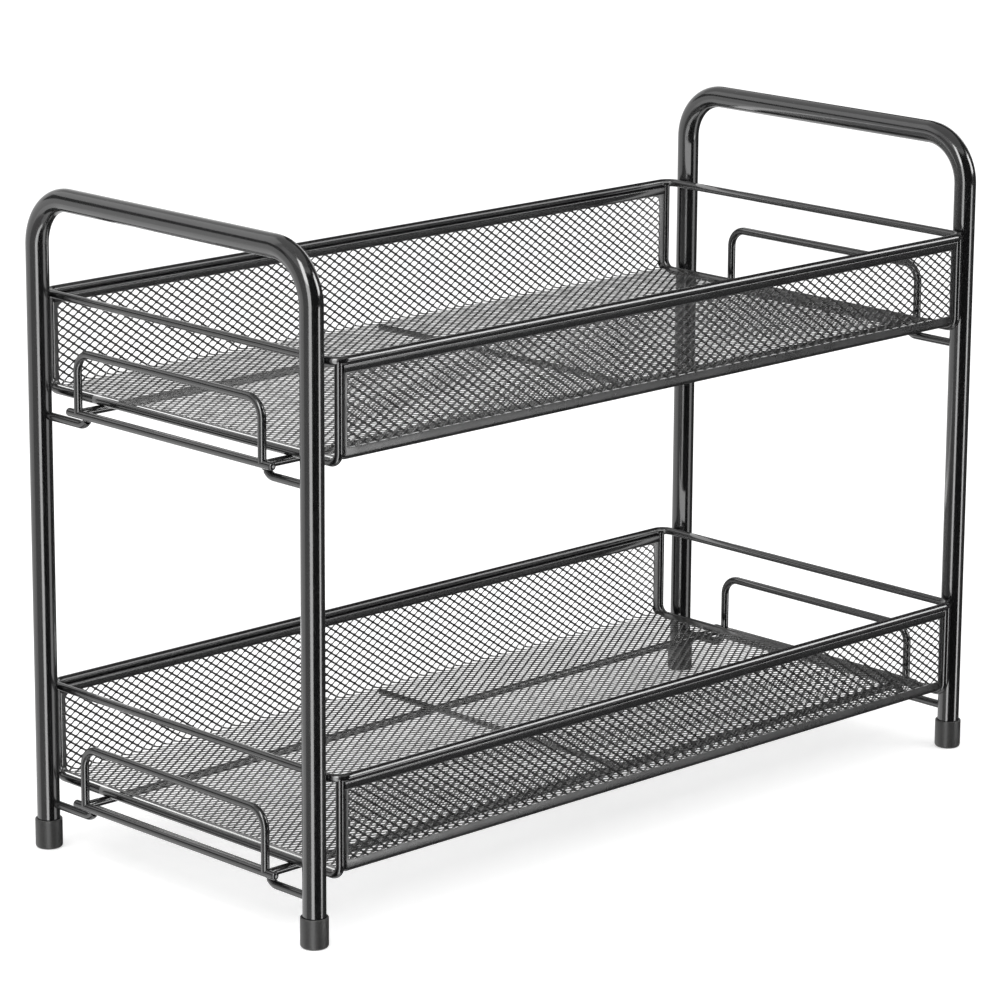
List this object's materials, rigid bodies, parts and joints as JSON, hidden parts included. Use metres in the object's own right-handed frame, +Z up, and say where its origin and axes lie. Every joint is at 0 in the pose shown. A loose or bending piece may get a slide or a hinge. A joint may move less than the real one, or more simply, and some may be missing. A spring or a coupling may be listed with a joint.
{
  "type": "tiered spice rack",
  "caption": "Countertop spice rack: bent-tube end frames carry shallow baskets of expanded steel mesh with wire rims and guard loops at their open ends.",
  "frame": {"origin": "on the floor, under the middle of the rack", "axes": "+X along the rack, +Y from its front to its back, +Z up"},
  "size_m": [0.4532, 0.2096, 0.325],
  "materials": {
    "end_frame_coat": "glossy dark gunmetal lacquer",
    "hanger_coat": "glossy dark gunmetal lacquer",
    "basket_wire_coat": "semi-gloss dark gunmetal lacquer",
    "guard_loop_coat": "semi-gloss dark gunmetal lacquer",
    "hem_coat": "semi-gloss dark gunmetal lacquer",
    "mesh_sheet_coat": "satin dark gunmetal lacquer",
    "foot_cap_rubber": "matte charcoal rubber"
  },
  "bodies": {
    "end_frames": {"left_end_frame": "end_frame_coat", "right_end_frame": "end_frame_coat", "left_front_foot_cap": "foot_cap_rubber", "left_rear_foot_cap": "foot_cap_rubber", "right_front_foot_cap": "foot_cap_rubber", "right_rear_foot_cap": "foot_cap_rubber", "left_upper_hanger": "hanger_coat", "left_lower_hanger": "hanger_coat", "right_upper_hanger": "hanger_coat", "right_lower_hanger": "hanger_coat"},
    "upper_basket": {"upper_rim_wire": "basket_wire_coat", "upper_mesh_sheet": "mesh_sheet_coat", "upper_cross_wire": "basket_wire_coat", "upper_front_hem": "hem_coat", "upper_front_runner": "basket_wire_coat", "upper_rear_hem": "hem_coat", "upper_rear_runner": "basket_wire_coat", "upper_left_end_wire": "basket_wire_coat", "upper_left_end_bar": "basket_wire_coat", "upper_left_guard_loop": "guard_loop_coat", "upper_right_end_wire": "basket_wire_coat", "upper_right_end_bar": "basket_wire_coat", "upper_right_guard_loop": "guard_loop_coat"},
    "lower_basket": {"lower_rim_wire": "basket_wire_coat", "lower_mesh_sheet": "mesh_sheet_coat", "lower_cross_wire": "basket_wire_coat", "lower_front_hem": "hem_coat", "lower_front_runner": "basket_wire_coat", "lower_rear_hem": "hem_coat", "lower_rear_runner": "basket_wire_coat", "lower_left_end_wire": "basket_wire_coat", "lower_left_end_bar": "basket_wire_coat", "lower_left_guard_loop": "guard_loop_coat", "lower_right_end_wire": "basket_wire_coat", "lower_right_end_bar": "basket_wire_coat", "lower_right_guard_loop": "guard_loop_coat"}
  },
  "joints": [
    {"name": "upper_basket_lift", "type": "slide", "parent": "end_frames", "child": "upper_basket", "axis": [0, 0, 1], "range_m": [0, 0.03]},
    {"name": "lower_basket_lift", "type": "slide", "parent": "end_frames", "child": "lower_basket", "axis": [0, 0, 1], "range_m": [0, 0.03]}
  ]
}
